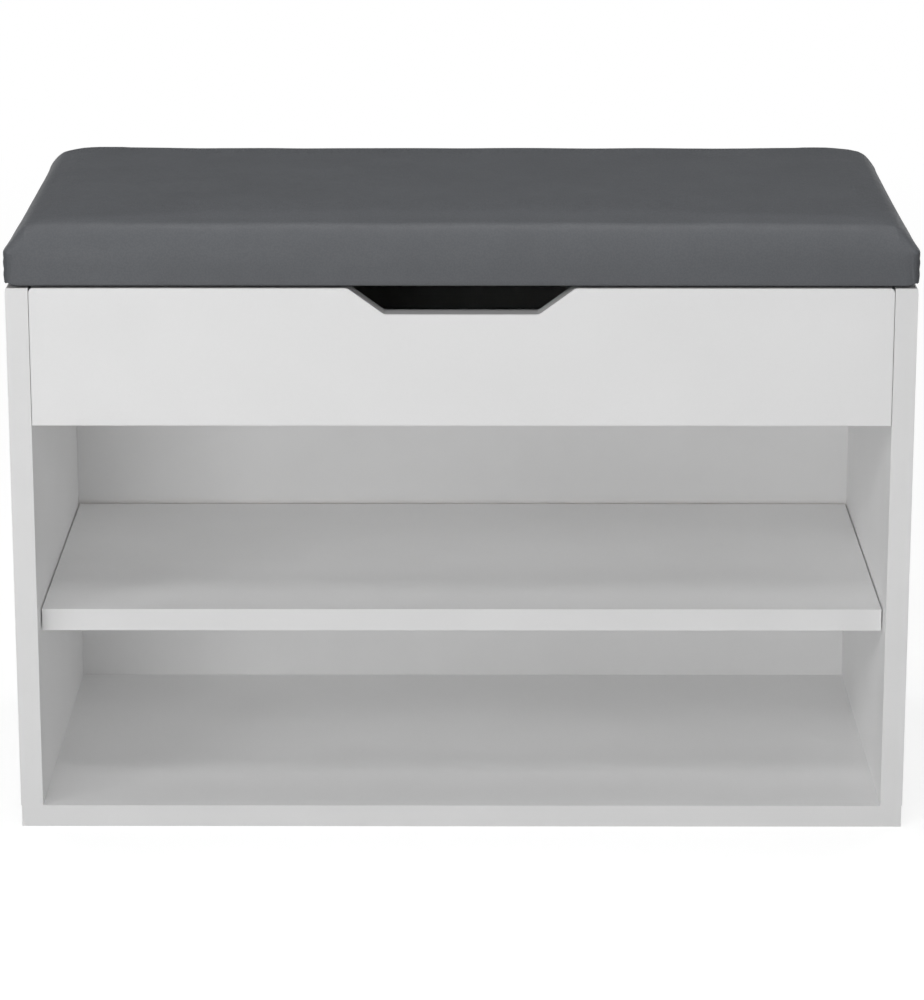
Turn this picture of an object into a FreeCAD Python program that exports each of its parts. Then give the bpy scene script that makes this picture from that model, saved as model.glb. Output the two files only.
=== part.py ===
import FreeCAD, Part
import os
import Sketcher
from FreeCAD import Placement, Rotation, Vector

# Entryway bench: an open shoe case of laminated boards under a padded lid that lifts up.
# The origin is on the floor under the middle of the boards' 600 x 300 mm plan. +X is to the
# sitter's right as seen from the front, +Y runs to the back and +Z is up. The lid turns about a
# line behind the rear rail, held by two sliding stays. Each stay's arm is as long as the distance
# from the hinge line to its lid pivot, and its slider runs on a line through the hinge line, so
# the arm turns exactly twice as far as the lid, the other way.

doc = FreeCAD.newDocument("entryway_bench")

# ---------------------------------------------------------------- driving dimensions (mm, deg)

DRIVING = {
    # case
    "width": 600,
    "depth": 300,
    "case_height": 375,
    "board": 15,
    "edging": 0.8,
    "top_band": 2,
    "base_inset": 0.5,
    "fascia_height": 93,
    "fascia_gap": 0.4,
    "fascia_corner": 3,
    "grip_top": 150,
    "grip_bottom": 102,
    "grip_depth": 17.5,
    "grip_round": 5,
    "floor_level": 283,
    "shelf_level": 134,
    "shelf_setback": 19,
    "shelf_gap": 1,
    "shelf_back_gap": 2,
    "back_sheet": 3,
    "back_inset": 10,
    "groove_depth": 5,
    "groove_play": 0.1,
    # lid and seat
    "lid_gap": 2.5,
    "seat_height": 420,
    "lid_plate": 12,
    "skin": 1,
    "skin_play": 0.2,
    "skin_margin": 28,
    "seat_round": 12,
    "seat_corner": 14,
    "backing": 0.5,
    "backing_inset": 10,
    # butt hinges
    "hinge_spread": 170,
    "hinge_length": 50,
    "hinge_back": 3.3,
    "hinge_drop": 3.3,
    "leaf": 1.1,
    "leaf_reach": 28,
    "knuckle_radius": 3,
    "knuckle_gap": 0.3,
    "pin_radius": 1.5,
    "pin_play": 0.05,
    # sliding lid stays
    "open_angle": 75,
    "stay_length": 100,
    "stay_drop": 12.2,
    "track_angle": 14,
    "track_width": 10,
    "track_depth": 5,
    "track_wall": 1,
    "track_end": 3,
    "tab_width": 14,
    "tab_reach": 11,
    "slider_radius": 3.7,
    "slider_height": 2.4,
    "neck_radius": 2,
    "slider_play": 0.3,
    "arm_width": 12,
    "arm_sheet": 2,
    "arm_gap": 0.5,
    "washer": 1,
    "rivet_radius": 2.5,
    # knock-down fittings
    "dowel_radius": 4,
    "dowel_half": 14.5,
    "cam_radius": 7.5,
    "cam_depth": 12.3,
    "cam_setback": 24,
    "cap_radius": 9.5,
    "cap_sheet": 0.6,
    "bolt_radius": 3,
    "thread_radius": 2.4,
    "thread_length": 11,
    "bore_play": 0.1,
}

sheet = doc.addObject("Spreadsheet::Sheet", "dims")
for row, (alias, number) in enumerate(DRIVING.items(), start=1):
    sheet.set(f"A{row}", alias)
    sheet.set(f"B{row}", str(number))
    sheet.setAlias(f"B{row}", alias)
doc.recompute()

# ---------------------------------------------------------------- places used more than once

HALF_WIDTH = "dims.width / 2"
HALF_DEPTH = "dims.depth / 2"
INNER_X = "(dims.width / 2 - dims.board)"
INNER_FRONT = "(dims.board - dims.depth / 2)"
INNER_REAR = "(dims.depth / 2 - dims.board)"
SIDE_MIDDLE = "(dims.width / 2 - dims.board / 2)"
CASE_TOP = "dims.case_height"
FASCIA_FOOT = "(dims.case_height - dims.fascia_height)"
BACK_FACE = "(dims.depth / 2 - dims.back_inset - dims.back_sheet)"
BACK_REAR = "(dims.depth / 2 - dims.back_inset)"
LID_UNDERSIDE = "(dims.case_height + dims.lid_gap)"
MARGIN_UNDERSIDE = "(dims.case_height + dims.lid_gap + dims.backing)"
PLATE_UNDERSIDE = "(dims.case_height + dims.lid_gap + dims.backing + dims.skin)"
PLATE_TOP = "(dims.case_height + dims.lid_gap + dims.backing + dims.skin + dims.lid_plate)"
SHELF_FRONT = "(dims.shelf_setback - dims.depth / 2)"
PIN_SEAT = 2
PIN_Z = f"(dims.shelf_level - {PIN_SEAT})"

HINGE_Y = "(dims.depth / 2 + dims.hinge_back)"
HINGE_Z = "(dims.case_height + dims.lid_gap - dims.hinge_drop)"
KNUCKLE_CLEAR = "(dims.knuckle_radius + dims.knuckle_gap)"

TRACK_TILT = "(dims.track_angle * 1 deg)"
FIRST_SWING = "(dims.track_angle * 1 deg - asin(dims.stay_drop / dims.stay_length))"
ARM_TILT = f"({TRACK_TILT} + {FIRST_SWING})"
PIVOT_Y = f"({HINGE_Y} - sqrt(dims.stay_length^2 - dims.stay_drop^2))"
PIVOT_Z = f"({HINGE_Z} - dims.stay_drop)"
SLIDER_SHUT = f"(2 * dims.stay_length * cos({FIRST_SWING}))"
SLIDER_OPEN = f"(2 * dims.stay_length * cos({FIRST_SWING} + dims.open_angle * 1 deg))"
ARM_OUTER = f"({INNER_X} - dims.track_depth - dims.arm_gap)"
ARM_INNER = f"({ARM_OUTER} - dims.arm_sheet)"
EAR_OUTER = f"({ARM_INNER} - dims.washer)"
EAR_INNER = f"({EAR_OUTER} - dims.arm_sheet)"

RIGHT = (1, 0, 0)
LEFT = (-1, 0, 0)
BACK = (0, 1, 0)
FRONT = (0, -1, 0)
UP = (0, 0, 1)
DOWN = (0, 0, -1)
SIDES = (-1, 1)

subparts = []


# ---------------------------------------------------------------- helpers

def value(expression):
    """The number that an expression on the sheet comes to."""
    result = sheet.evalExpression(expression)
    return float(getattr(result, "Value", result))


def place(solid, at, direction=UP):
    """Turn a solid's own +Z to a direction and bind its base point to three expressions."""
    solid.Placement = Placement(Vector(), Rotation(Vector(*UP), Vector(*direction)))
    for axis, expression in zip("xyz", at):
        solid.setExpression(f"Placement.Base.{axis}", str(expression))
    return solid


def box(name, low, high):
    """A box between two corners, each given as three expressions."""
    solid = doc.addObject("Part::Box", name)
    for side, start, end in zip(("Length", "Width", "Height"), low, high):
        solid.setExpression(side, f"({end}) - ({start})")
    return place(solid, low)


def cylinder(name, at, direction, radius, height):
    solid = doc.addObject("Part::Cylinder", name)
    solid.setExpression("Radius", str(radius))
    solid.setExpression("Height", str(height))
    return place(solid, at, direction)


def cone(name, at, direction, first_radius, last_radius, height):
    solid = doc.addObject("Part::Cone", name)
    solid.setExpression("Radius1", str(first_radius))
    solid.setExpression("Radius2", str(last_radius))
    solid.setExpression("Height", str(height))
    return place(solid, at, direction)


def prism(name, plane, outline, start, length):
    """A body whose outline, a list of expression pairs, lies on an origin plane and is padded.

    XY pads up from z = start, YZ pads right from x = start, XZ pads forward from y = start.
    """
    body = doc.addObject("PartDesign::Body", name)
    sketch = body.newObject("Sketcher::SketchObject", f"{name}_outline")
    origin_plane = next(p for p in body.Origin.OriginFeatures if p.Role == f"{plane}_Plane")
    sketch.AttachmentSupport = [(origin_plane, "")]
    sketch.MapMode = "FlatFace"
    way = "-" if plane == "XZ" else ""
    sketch.setExpression("AttachmentOffset.Base.z", f"{way}({start})")
    corners = [Vector(value(across), value(up), 0) for across, up in outline]
    for index, corner in enumerate(corners):
        sketch.addGeometry(Part.LineSegment(corner, corners[(index + 1) % len(corners)]), False)
    for index in range(len(corners)):
        sketch.addConstraint(Sketcher.Constraint("Coincident", index, 2, (index + 1) % len(corners), 1))
    for index, (pair, corner) in enumerate(zip(outline, corners)):
        for kind, expression, number in zip(("DistanceX", "DistanceY"), pair, (corner.x, corner.y)):
            label = f"{kind}{index}"
            constraint = sketch.addConstraint(Sketcher.Constraint(kind, -1, 1, index, 1, number))
            sketch.renameConstraint(constraint, label)
            sketch.setExpression(f"Constraints.{label}", expression)
    pad = body.newObject("PartDesign::Pad", f"{name}_pad")
    pad.Profile = sketch
    pad.setExpression("Length", str(length))
    return body


def edges_through(shape, points):
    """The names of the edges that pass through the given points."""
    names = []
    for index, edge in enumerate(shape.Edges, start=1):
        if any(edge.distToShape(Part.Vertex(point))[0] < 0.01 for point in points):
            names.append(f"Edge{index}")
    return names


def round_body(body, points, radius):
    """Round the body's edges through the points, with a radius bound to the sheet."""
    doc.recompute()
    base = body.Tip
    fillet = body.newObject("PartDesign::Fillet", f"{body.Name}_round")
    fillet.Base = (base, edges_through(base.Shape, points))
    fillet.setExpression("Radius", str(radius))
    body.Tip = fillet
    return body


def round_solid(name, solid, rounds):
    """Round a solid's edges: rounds is a list of (test on the edge, radius)."""
    doc.recompute()
    fillet = doc.addObject("Part::Fillet", name)
    fillet.Base = solid
    edges = []
    for index, edge in enumerate(solid.Shape.Edges, start=1):
        for test, radius in rounds:
            if test(edge):
                edges.append((index, radius, radius))
                break
    fillet.Edges = edges
    return fillet


def fuse(name, solids):
    union = doc.addObject("Part::MultiFuse", name)
    union.Shapes = list(solids)
    union.Refine = True
    return union


def cut(name, base, tools):
    """A base with one or more tools cut out of it."""
    result = doc.addObject("Part::Cut", name)
    result.Base = base
    result.Tool = tools[0] if len(tools) == 1 else fuse(f"{name}_tools", tools)
    return result


def group(name, solids):
    """Identical small pieces that share one node as separate solids."""
    compound = doc.addObject("Part::Compound", name)
    compound.Links = list(solids)
    return compound


def mirrored(name, solid):
    """The left-hand copy of a right-hand piece."""
    copy = doc.addObject("Part::Mirroring", name)
    copy.Source = solid
    copy.Base = Vector()
    copy.Normal = Vector(*RIGHT)
    return copy


def keep(solid, label):
    """Hand a solid in as the sub-part that the label names."""
    solid.Label = label
    subparts.append(solid)
    return solid


def keep_pair(solid, label):
    """Hand in a right-hand piece and its left-hand mirror image."""
    keep(solid, f"right_{label}")
    keep(mirrored(f"left_{label}", solid), f"left_{label}")


def on_line(start, tilt, along, above):
    """A point (y, z) measured along a line that runs forward and down at a tilt, and above it."""
    start_y, start_z = start
    return (
        f"{start_y} - ({along}) * cos({tilt}) - ({above}) * sin({tilt})",
        f"{start_z} - ({along}) * sin({tilt}) + ({above}) * cos({tilt})",
    )


def strip_outline(start, tilt, first, last, low, high):
    """The four corners of a strip along such a line."""
    spots = ((first, low), (last, low), (last, high), (first, high))
    return [on_line(start, tilt, along, above) for along, above in spots]


PAN_TOP = 0.7       # a pan head's top, as a share of the head's radius
CROSS_DEPTH = 0.6   # the cross recess, as a share of the head's height
CROSS_REACH = 0.55  # and of its radius
CROSS_SLOT = 0.35   # half the width of each slot of the cross
HOLE_PLAY = 0.1     # room round a screw in the sheet that it holds
PILOT_PLAY = 0.05   # room round a screw in its bore
PILOT_END = 0.2     # room past its tip
THROUGH = 4         # length of a hole cut right through a sheet


def screw(name, at, direction, head_radius, head_height, shank_radius, length, pan=False):
    """A cross-head screw driven along a direction. Its seat is at the given point."""
    shank = cylinder(f"{name}_shank", (0, 0, 0), UP, shank_radius, length)
    if pan:
        top = -head_height
        head = cone(f"{name}_head", (0, 0, top), UP, PAN_TOP * head_radius, head_radius, head_height)
    else:
        top = 0
        head = cone(f"{name}_head", (0, 0, 0), UP, head_radius, shank_radius, head_height)
    foot = top + CROSS_DEPTH * head_height
    reach = CROSS_REACH * head_radius
    first = box(f"{name}_slot", (-reach, -CROSS_SLOT, top), (reach, CROSS_SLOT, foot))
    second = box(f"{name}_slot", (-CROSS_SLOT, -reach, top), (CROSS_SLOT, reach, foot))
    return place(cut(name, fuse(f"{name}_blank", (head, shank)), (first, second)), at, direction)


def screw_hole(name, at, direction, fastener):
    """A hole through the thin sheet that a screw holds."""
    return cylinder(name, at, direction, fastener["shank_radius"] + HOLE_PLAY, THROUGH)


def pilot(name, at, direction, fastener):
    """The bore that a screw is driven into."""
    radius = fastener["shank_radius"] + PILOT_PLAY
    return cylinder(name, at, direction, radius, fastener["length"] + PILOT_END)


# ---------------------------------------------------------------- knock-down fittings

# Where the cross boards are tied to the sides: (y, z, way the cam's face looks).
FITTING_Z = "335"
DOWEL_Z = "306"
FASCIA_MIDDLE = "(dims.board / 2 - dims.depth / 2)"
RAIL_MIDDLE = "(dims.depth / 2 - dims.board / 2)"
FLOOR_MIDDLE = "(dims.floor_level + dims.board / 2)"
CAM_SPOTS = {
    "front_fascia": [(FASCIA_MIDDLE, FITTING_Z, BACK)],
    "rear_rail": [(RAIL_MIDDLE, FITTING_Z, FRONT)],
    "compartment_floor": [("-95", FLOOR_MIDDLE, DOWN), ("95", FLOOR_MIDDLE, DOWN)],
}
DOWEL_SPOTS = {
    "front_fascia": [(FASCIA_MIDDLE, DOWEL_Z)],
    "rear_rail": [(RAIL_MIDDLE, DOWEL_Z)],
    "compartment_floor": [("-55", FLOOR_MIDDLE), ("55", FLOOR_MIDDLE)],
}
BASE_DOWELS = ("-60", "60")
SHAFT_BORE = "dims.bolt_radius + dims.bore_play"
SLOT_HALF_WIDTH = 0.7
SLOT_HALF_LENGTH = 4
SLOT_DEPTH = 0.6
BASE_SCREWS = ("-110", "110")
PIN_SPOTS = ("-95", "95")

bores = {name: [] for name in ("bottom_panel", "left_side_panel", "right_side_panel", *CAM_SPOTS)}
cam_locks = []
cam_bolts = []
cam_caps = []
dowels = []


def side_name(side):
    return "right_side_panel" if side > 0 else "left_side_panel"


def outward(side):
    return RIGHT if side > 0 else LEFT


def add_cam(side, board, y, z, face):
    """One cam lock with its bolt and stick-on cap, and the bores that take them."""
    cam_x = f"{side} * ({INNER_X} - dims.cam_setback)"
    half = "dims.board / 2"
    face_at = [cam_x, f"{y} + {face[1]} * {half}", f"{z} + {face[2]} * {half}"]
    inward = tuple(-part for part in face)
    into_side = outward(side)
    drum = cylinder("cam_drum", face_at, inward, "dims.cam_radius", "dims.cam_depth")
    cam_middle = (cam_x, y, z)
    mouth = cylinder("cam_mouth", cam_middle, into_side, SHAFT_BORE, "dims.cam_radius")
    # The driver slot is a shallow bar across the middle of the cam's face.
    slot_reach = [SLOT_HALF_WIDTH, *(SLOT_DEPTH if part else SLOT_HALF_LENGTH for part in face[1:])]
    slot = box("cam_slot", [f"{spot} - {reach}" for spot, reach in zip(face_at, slot_reach)],
               [f"{spot} + {reach}" for spot, reach in zip(face_at, slot_reach)])
    cam_locks.append(cut("cam_lock", drum, (mouth, slot)))
    cam_caps.append(cylinder("cam_cap", face_at, face, "dims.cap_radius", "dims.cap_sheet"))
    side_at = (f"{side} * {INNER_X}", y, z)
    shaft = cylinder("bolt_shaft", cam_middle, into_side, "dims.bolt_radius", "dims.cam_setback")
    thread = cylinder("bolt_thread", side_at, into_side, "dims.thread_radius", "dims.thread_length")
    cam_bolts.append(fuse("cam_bolt", (shaft, thread)))
    bores[board] += [
        cylinder("cam_bore", face_at, inward, "dims.cam_radius + dims.bore_play",
                 "dims.cam_depth + dims.bore_play"),
        cylinder("shaft_bore", cam_middle, into_side, SHAFT_BORE, "dims.cam_setback"),
    ]
    bores[side_name(side)].append(
        cylinder("thread_bore", side_at, into_side, "dims.thread_radius + dims.bore_play",
                 "dims.thread_length + dims.bore_play"))


def add_dowel(middle, direction, boards):
    """One grooveless wood dowel across a joint, and its bore through both boards."""
    start = [f"{spot} - {abs(part)} * dims.dowel_half" for spot, part in zip(middle, direction)]
    bore_start = [f"{spot} - {abs(part)} * (dims.dowel_half + dims.bore_play)"
                  for spot, part in zip(middle, direction)]
    way = tuple(abs(part) for part in direction)
    dowels.append(cylinder("dowel", start, way, "dims.dowel_radius", "2 * dims.dowel_half"))
    bore = cylinder("dowel_bore", bore_start, way, "dims.dowel_radius + dims.bore_play",
                    "2 * (dims.dowel_half + dims.bore_play)")
    for board in boards:
        bores[board].append(bore)


for side in SIDES:
    for board, spots in CAM_SPOTS.items():
        for y, z, face in spots:
            add_cam(side, board, y, z, face)
    for board, spots in DOWEL_SPOTS.items():
        for y, z in spots:
            joint_x = f"{side} * ({INNER_X} - dims.board / 4)"
            add_dowel((joint_x, y, z), RIGHT, (board, side_name(side)))
    for y in BASE_DOWELS:
        joint = (f"{side} * {SIDE_MIDDLE}", y, "dims.board + 4")
        add_dowel(joint, UP, ("bottom_panel", side_name(side)))

keep(group("cam_locks", cam_locks), "cam_locks")
keep(group("cam_bolts", cam_bolts), "cam_bolts")
keep(group("cam_caps", cam_caps), "cam_caps")
keep(group("wood_dowels", dowels), "wood_dowels")

# Carcass screws: hexagon-socket screws driven up through the bottom panel into the sides.
CARCASS_HEAD = 5
CARCASS_HEAD_HEIGHT = 3
CARCASS_SHANK = 3.4
CARCASS_THREAD = 2.6
CARCASS_LENGTH = 48
CARCASS_SINK = 0.3
CARCASS_PLAY = 0.1
SOCKET = 2
carcass_screws = []
for side in SIDES:
    for y in BASE_SCREWS:
        at = (f"{side} * {SIDE_MIDDLE}", y, CARCASS_SINK)
        head = cone("carcass_head", at, UP, CARCASS_HEAD, CARCASS_SHANK, CARCASS_HEAD_HEIGHT)
        shank = cylinder("carcass_shank", at, UP, CARCASS_SHANK, f"dims.board - {CARCASS_SINK}")
        thread = cylinder("carcass_thread", at, UP, CARCASS_THREAD, CARCASS_LENGTH)
        socket = cylinder("carcass_socket", at, UP, SOCKET, SOCKET)
        blank = fuse("carcass_blank", (head, shank, thread))
        carcass_screws.append(cut("carcass_screw", blank, (socket,)))
        mouth = (at[0], y, 0)
        sink_depth = CARCASS_HEAD_HEIGHT + CARCASS_SINK + CARCASS_PLAY
        sink_radius = CARCASS_HEAD + CARCASS_SINK + CARCASS_PLAY
        bores["bottom_panel"] += [
            cone("carcass_sink", mouth, UP, sink_radius, CARCASS_SHANK, sink_depth),
            cylinder("carcass_bore", mouth, UP, CARCASS_SHANK + CARCASS_PLAY, "dims.board"),
        ]
        bores[side_name(side)].append(
            cylinder("carcass_pilot", mouth, UP, CARCASS_THREAD + CARCASS_PLAY, CARCASS_LENGTH + 1))
keep(group("carcass_screws", carcass_screws), "carcass_screws")

# Shelf pins: a shank in the side, a collar against it and a stub with a flat top under the shelf.
PIN_SHANK = 2.5
PIN_COLLAR = 4
PIN_STUB = 3.5
shelf_pins = []
for side in SIDES:
    for y in PIN_SPOTS:
        at = (f"{side} * {INNER_X}", y, PIN_Z)
        inside = outward(-side)
        shank = cylinder("pin_shank", at, outward(side), PIN_SHANK, 8)
        collar = cylinder("pin_collar", at, inside, PIN_COLLAR, 0.8)
        stub = cylinder("pin_stub", at, inside, PIN_STUB, 9)
        above = box("pin_flat", (f"{side} * {INNER_X} - 10", f"{y} - 6", "dims.shelf_level"),
                    (f"{side} * {INNER_X} + 10", f"{y} + 6", "dims.shelf_level + 4"))
        shelf_pins.append(cut("shelf_pin", fuse("pin_blank", (shank, collar, stub)), (above,)))
        bores[side_name(side)].append(cylinder("pin_bore", at, outward(side), PIN_SHANK + 0.05, 8.2))
keep(group("shelf_pins", shelf_pins), "shelf_pins")

# ---------------------------------------------------------------- sliding lid stays (right hand)

HINGE_LINE = (HINGE_Y, HINGE_Z)
PIVOT = (PIVOT_Y, PIVOT_Z)
RUN_START = f"({SLIDER_OPEN} - dims.slider_radius - dims.slider_play)"
RUN_END = f"({SLIDER_SHUT} + dims.slider_radius + dims.slider_play)"
HALF_TRACK = "dims.track_width / 2"
HALF_RUN = "(dims.slider_radius + dims.slider_play)"
HALF_SLOT = "(dims.neck_radius + dims.slider_play)"
TAB_MIDDLES = (f"({RUN_START} + 16)", f"({RUN_END} - 16)")
TAB_SHEET = 1.5
TAB_SCREW_DROP = "(dims.track_width / 2 + dims.tab_reach / 2)"
MOUNT_SCREW = {"head_radius": 3.2, "head_height": 2, "shank_radius": 1.6, "length": 12}

track_inner = f"({INNER_X} - dims.track_depth)"
track_blank = prism("track_blank", "YZ",
                    strip_outline(HINGE_LINE, TRACK_TILT, f"{RUN_START} - dims.track_end",
                                  f"{RUN_END} + dims.track_end", f"-{HALF_TRACK}", HALF_TRACK),
                    track_inner, "dims.track_depth")
track_run = prism("track_run", "YZ",
                  strip_outline(HINGE_LINE, TRACK_TILT, RUN_START, RUN_END, f"-{HALF_RUN}", HALF_RUN),
                  f"{track_inner} + dims.track_wall", "dims.track_depth - 2 * dims.track_wall")
track_slot = prism("track_slot", "YZ",
                   strip_outline(HINGE_LINE, TRACK_TILT, f"{SLIDER_OPEN} - {HALF_SLOT}",
                                 f"{SLIDER_SHUT} + {HALF_SLOT}", f"-{HALF_SLOT}", HALF_SLOT),
                   f"{track_inner} - 1", "2 + dims.track_wall - 0.5")
track_tabs = []
tab_holes = []
track_screws = []
for index, middle in enumerate(TAB_MIDDLES):
    tab = prism(f"track_tab_{index}", "YZ",
                strip_outline(HINGE_LINE, TRACK_TILT, f"{middle} - dims.tab_width / 2",
                              f"{middle} + dims.tab_width / 2",
                              f"-{HALF_TRACK} - dims.tab_reach", f"-{HALF_TRACK}"),
                f"{INNER_X} - {TAB_SHEET}", TAB_SHEET)
    track_tabs.append(tab)
    screw_y, screw_z = on_line(HINGE_LINE, TRACK_TILT, middle, f"-{TAB_SCREW_DROP}")
    tab_holes.append(screw_hole("tab_hole", (f"{INNER_X} - 2", screw_y, screw_z), RIGHT, MOUNT_SCREW))
    for side in SIDES:
        seat = (f"{side} * ({INNER_X} - {TAB_SHEET})", screw_y, screw_z)
        track_screws.append(screw("track_screw", seat, outward(side), pan=True, **MOUNT_SCREW))
        bores[side_name(side)].append(pilot("track_pilot", seat, outward(side), MOUNT_SCREW))
right_track = cut("right_stay_track_solid", fuse("track_body", (track_blank, *track_tabs)),
                  (track_run, track_slot, *tab_holes))
keep_pair(right_track, "stay_track")
keep(group("stay_track_screws", track_screws), "stay_track_screws")

slider_y, slider_z = on_line(HINGE_LINE, TRACK_TILT, SLIDER_SHUT, "0")
half_arm = "dims.arm_width / 2"
arm_bar = prism("arm_bar", "YZ",
                strip_outline(PIVOT, ARM_TILT, "0", "dims.stay_length", f"-{half_arm}", half_arm),
                ARM_INNER, "dims.arm_sheet")
arm_lid_end = cylinder("arm_lid_end", (ARM_INNER, *PIVOT), RIGHT, half_arm, "dims.arm_sheet")
arm_slider_end = cylinder("arm_slider_end", (ARM_INNER, slider_y, slider_z), RIGHT, half_arm,
                          "dims.arm_sheet")
arm_pivot_hole = cylinder("arm_pivot_hole", (f"{ARM_INNER} - 1", *PIVOT), RIGHT,
                          "dims.rivet_radius + dims.pin_play", "dims.arm_sheet + 2")
arm_neck_hole = cylinder("arm_neck_hole", (f"{ARM_INNER} - 1", slider_y, slider_z), RIGHT,
                         "dims.neck_radius + 0.02", "dims.arm_sheet + 2")
right_arm = cut("right_stay_arm_solid", fuse("arm_blank", (arm_bar, arm_lid_end, arm_slider_end)),
                (arm_pivot_hole, arm_neck_hole))
keep_pair(right_arm, "stay_arm")

slider_play_x = "(dims.track_depth / 2 - dims.track_wall - dims.slider_height / 2)"
slider_inner = f"({track_inner} + dims.track_wall + {slider_play_x})"
slider_head = cylinder("slider_head", (slider_inner, slider_y, slider_z), RIGHT,
                       "dims.slider_radius", "dims.slider_height")
slider_neck = cylinder("slider_neck", (ARM_INNER, slider_y, slider_z), RIGHT,
                       "dims.neck_radius", f"{slider_inner} - {ARM_INNER}")
slider_flange = cone("slider_flange", (ARM_INNER, slider_y, slider_z), LEFT, 3.5, 2.6, 1.2)
keep_pair(fuse("right_stay_slider_solid", (slider_head, slider_neck, slider_flange)), "stay_slider")

# Lid brackets: a plate under the lid with an ear that hangs down to the arm's pivot.
PLATE_SPAN = 22
PLATE_HALF = 15
EAR_HALF = 8
EAR_ROUND = 7
bracket_plate = box("bracket_plate", (f"{EAR_OUTER} - {PLATE_SPAN}", f"{PIVOT_Y} - {PLATE_HALF}",
                                      f"{LID_UNDERSIDE} - dims.arm_sheet"),
                    (EAR_OUTER, f"{PIVOT_Y} + {PLATE_HALF}", LID_UNDERSIDE))
ear_outline = [
    (f"{PIVOT_Y} - {PLATE_HALF}", LID_UNDERSIDE),
    (f"{PIVOT_Y} - {EAR_HALF}", f"{PIVOT_Z} + 2"),
    (f"{PIVOT_Y} - {EAR_HALF}", f"{PIVOT_Z} - {EAR_ROUND}"),
    (f"{PIVOT_Y} + {EAR_HALF}", f"{PIVOT_Z} - {EAR_ROUND}"),
    (f"{PIVOT_Y} + {EAR_HALF}", f"{PIVOT_Z} + 2"),
    (f"{PIVOT_Y} + {PLATE_HALF}", LID_UNDERSIDE),
]
bracket_ear = prism("bracket_ear", "YZ", ear_outline, EAR_INNER, "dims.arm_sheet")
ear_middle = value(f"({EAR_INNER} + {EAR_OUTER}) / 2")
ear_foot = value(f"{PIVOT_Z} - {EAR_ROUND}")
ear_corners = [Vector(ear_middle, value(PIVOT_Y) + side * EAR_HALF, ear_foot) for side in SIDES]
round_body(bracket_ear, ear_corners, EAR_ROUND)
rivet_hole = cylinder("rivet_hole", (f"{EAR_INNER} - 1", *PIVOT), RIGHT, "dims.rivet_radius + 0.02", 4)
bracket_holes = [rivet_hole]
bracket_screws = []
BRACKET_SCREW_X = f"({EAR_INNER} - 11)"
lid_pilots = []
for offset in (-9, 9):
    screw_y = f"{PIVOT_Y} + {offset}"
    hole_at = (BRACKET_SCREW_X, screw_y, f"{LID_UNDERSIDE} - 3")
    bracket_holes.append(screw_hole("bracket_hole", hole_at, UP, MOUNT_SCREW))
    for side in SIDES:
        seat = (f"{side} * {BRACKET_SCREW_X}", screw_y, f"{LID_UNDERSIDE} - dims.arm_sheet")
        bracket_screws.append(screw("bracket_screw", seat, UP, pan=True, **MOUNT_SCREW))
        lid_pilots.append(pilot("bracket_pilot", seat, UP, MOUNT_SCREW))
bracket_body = fuse("bracket_body", (bracket_plate, bracket_ear))
right_bracket = cut("right_stay_bracket_solid", bracket_body, bracket_holes)
keep_pair(right_bracket, "stay_bracket")
keep(group("stay_bracket_screws", bracket_screws), "stay_bracket_screws")

pivot_rivets = []
pivot_washers = []
for side in SIDES:
    inside = outward(-side)
    shank_at = (f"{side} * {EAR_INNER}", *PIVOT)
    rivet_shank = cylinder("rivet_shank", shank_at, outward(side), "dims.rivet_radius",
                           f"{ARM_OUTER} - {EAR_INNER}")
    rivet_tail = cylinder("rivet_tail", (f"{side} * {ARM_OUTER}", *PIVOT), outward(side), 3.5, 0.4)
    rivet_head = cone("rivet_head", shank_at, inside, 4, 2.4, 1.2)
    pivot_rivets.append(fuse("pivot_rivet", (rivet_shank, rivet_tail, rivet_head)))
    washer_at = (f"{side} * {EAR_OUTER}", *PIVOT)
    washer_disc = cylinder("washer_disc", washer_at, outward(side), 5, "dims.washer - 0.3")
    washer_hole = cylinder("washer_hole", washer_at, outward(side), "dims.rivet_radius + 0.1",
                           "dims.washer")
    pivot_washers.append(cut("pivot_washer", washer_disc, (washer_hole,)))
keep(group("stay_pivot_rivets", pivot_rivets), "stay_pivot_rivets")
keep(group("stay_pivot_washers", pivot_washers), "stay_pivot_washers")

# ---------------------------------------------------------------- butt hinges

KNUCKLES = 5
LEAF_SCREWS = (-17, 0, 17)
LEAF_SCREW = {"head_radius": 2.8, "head_height": 1.1, "shank_radius": 1.5, "length": 12}
LEAF_SINK = (LEAF_SCREW["head_radius"] + HOLE_PLAY, LEAF_SCREW["shank_radius"] + HOLE_PLAY)
SCREW_LINE = 0.55
CASE_LEAF_FOOT = f"({HINGE_Z} - dims.leaf_reach)"
CASE_LEAF_HEAD = f"({HINGE_Z} - {KNUCKLE_CLEAR})"
CASE_LEAF_REAR = f"({HALF_DEPTH} + dims.leaf)"
LID_LEAF_FRONT = f"({HINGE_Y} - dims.leaf_reach)"
LID_LEAF_REAR = f"({HINGE_Y} - {KNUCKLE_CLEAR})"
LID_LEAF_FOOT = f"({LID_UNDERSIDE} - dims.leaf)"
case_leaf_screws = []
lid_leaf_screws = []


def knuckle_span(middle, index):
    """The first and last x of one knuckle, counted from the hinge's left end."""
    pitch = f"dims.hinge_length / {KNUCKLES}"
    left = f"{middle} - dims.hinge_length / 2 + {index} * {pitch} + dims.knuckle_gap / 2"
    return left, f"{left} + {pitch} - dims.knuckle_gap"


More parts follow.
